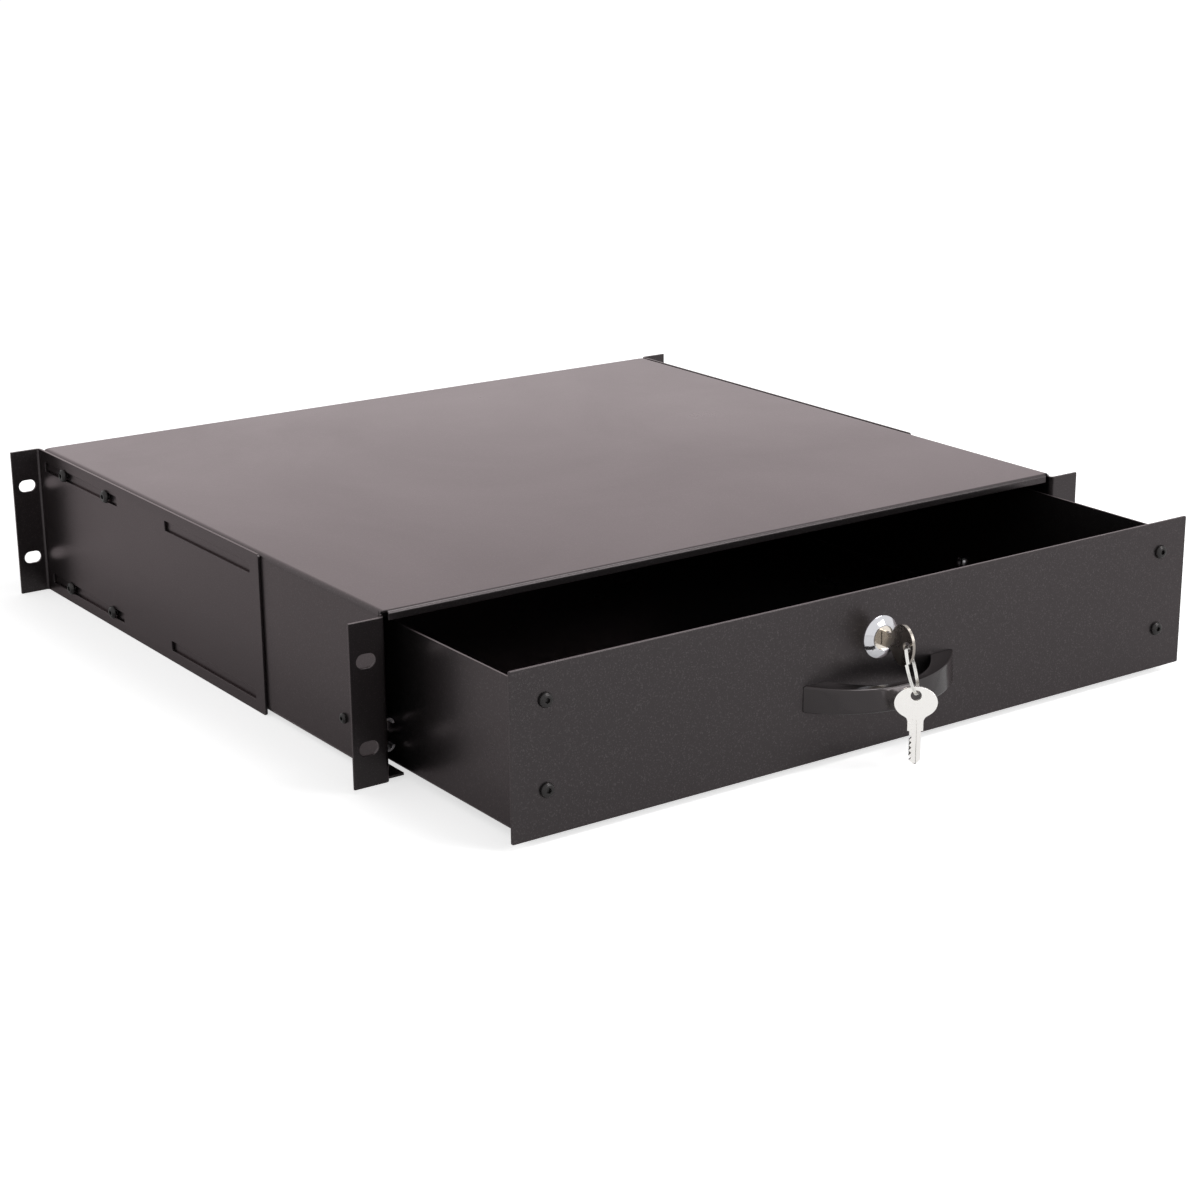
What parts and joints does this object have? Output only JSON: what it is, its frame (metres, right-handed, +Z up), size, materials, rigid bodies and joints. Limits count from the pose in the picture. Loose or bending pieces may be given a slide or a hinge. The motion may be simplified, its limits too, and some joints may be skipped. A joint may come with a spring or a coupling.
{
  "type": "rack drawer",
  "caption": "Lockable rack drawer two units high: folded housing with rack ears, adjustable rear brackets, ball slides, bow handle and cam lock with keys.",
  "frame": {"origin": "centre of the four rack slots on the front face of the ears", "axes": "+X to the right seen from the front, +Y to the rear, +Z up"},
  "size_m": [0.4826, 0.5517, 0.0882],
  "materials": {
    "powder_coat": "fine-textured satin black powder coat",
    "gloss_black": "gloss black moulding",
    "black_screw": "black oxide",
    "zinc_steel": "bright zinc plate",
    "cage_steel": "plain rolled steel",
    "ball_steel": "polished ball steel",
    "lock_chrome": "bright chrome plate",
    "lock_brass": "nickel-washed brass, lightly worn",
    "bright_key": "bright nickel plate",
    "dark_key": "nickel plate in shade, lightly scratched",
    "ring_steel": "bright spring steel"
  },
  "bodies": {
    "housing": {"housing": "powder_coat", "slide_outer_left": "zinc_steel", "slide_outer_right": "zinc_steel", "slide_screws": "black_screw", "slide_rear_screws": "black_screw", "bracket_clamp_screws": "black_screw", "bracket_clamp_nuts": "zinc_steel"},
    "bracket_left": {"rear_bracket_left": "powder_coat"},
    "bracket_right": {"rear_bracket_right": "powder_coat"},
    "cage_left": {"ball_cage_left": "cage_steel", "slide_balls_left": "ball_steel"},
    "cage_right": {"ball_cage_right": "cage_steel", "slide_balls_right": "ball_steel"},
    "drawer": {"drawer_tray": "powder_coat", "drawer_front_panel": "powder_coat", "panel_screws": "black_screw", "panel_nuts": "zinc_steel", "pull_handle": "gloss_black", "handle_screws": "zinc_steel", "slide_inner_left": "zinc_steel", "slide_inner_right": "zinc_steel", "drawer_slide_screws": "zinc_steel", "lock_body": "lock_chrome", "lock_nut": "zinc_steel"},
    "lock_core": {"lock_plug": "lock_brass", "lock_cam": "zinc_steel", "cam_screw": "zinc_steel"},
    "key": {"inserted_key": "dark_key"},
    "ring": {"key_ring": "ring_steel"},
    "spare": {"spare_key": "bright_key"}
  },
  "joints": [
    {"name": "drawer_slide", "type": "slide", "parent": "housing", "child": "drawer", "axis": [0, -1, 0], "range_m": [-0.105, 0.145]},
    {"name": "cage_left_roll", "type": "slide", "parent": "housing", "child": "cage_left", "axis": [0, -1, 0], "range_m": [-0.0525, 0.0725]},
    {"name": "cage_right_roll", "type": "slide", "parent": "housing", "child": "cage_right", "axis": [0, -1, 0], "range_m": [-0.0525, 0.0725]},
    {"name": "bracket_left_set", "type": "slide", "parent": "housing", "child": "bracket_left", "axis": [0, 1, 0], "range_m": [-0.0245, 0.012]},
    {"name": "bracket_right_set", "type": "slide", "parent": "housing", "child": "bracket_right", "axis": [0, 1, 0], "range_m": [-0.0245, 0.012]},
    {"name": "lock_turn", "type": "hinge", "parent": "drawer", "child": "lock_core", "pos_m": [0, -0.105, 0.0168], "axis": [0, -1, 0], "range_deg": [0, 90]},
    {"name": "key_pull", "type": "slide", "parent": "lock_core", "child": "key", "axis": [0, -1, 0], "range_m": [0, 0.035]},
    {"name": "ring_swing", "type": "hinge", "parent": "key", "child": "ring", "pos_m": [0, -0.1253, 0.0168], "axis": [-0.7045, -0.496, 0.5076], "range_deg": [0, 60]},
    {"name": "spare_key_swing", "type": "hinge", "parent": "ring", "child": "spare", "pos_m": [-0.00513, -0.13815, -0.00357], "axis": [0.596, 0.803, 0], "range_deg": [-30, 30]}
  ],
  "couplings": [
    {"joint": "cage_left_roll", "follows": "drawer_slide", "ratio": 0.5},
    {"joint": "cage_right_roll", "follows": "drawer_slide", "ratio": 0.5}
  ]
}
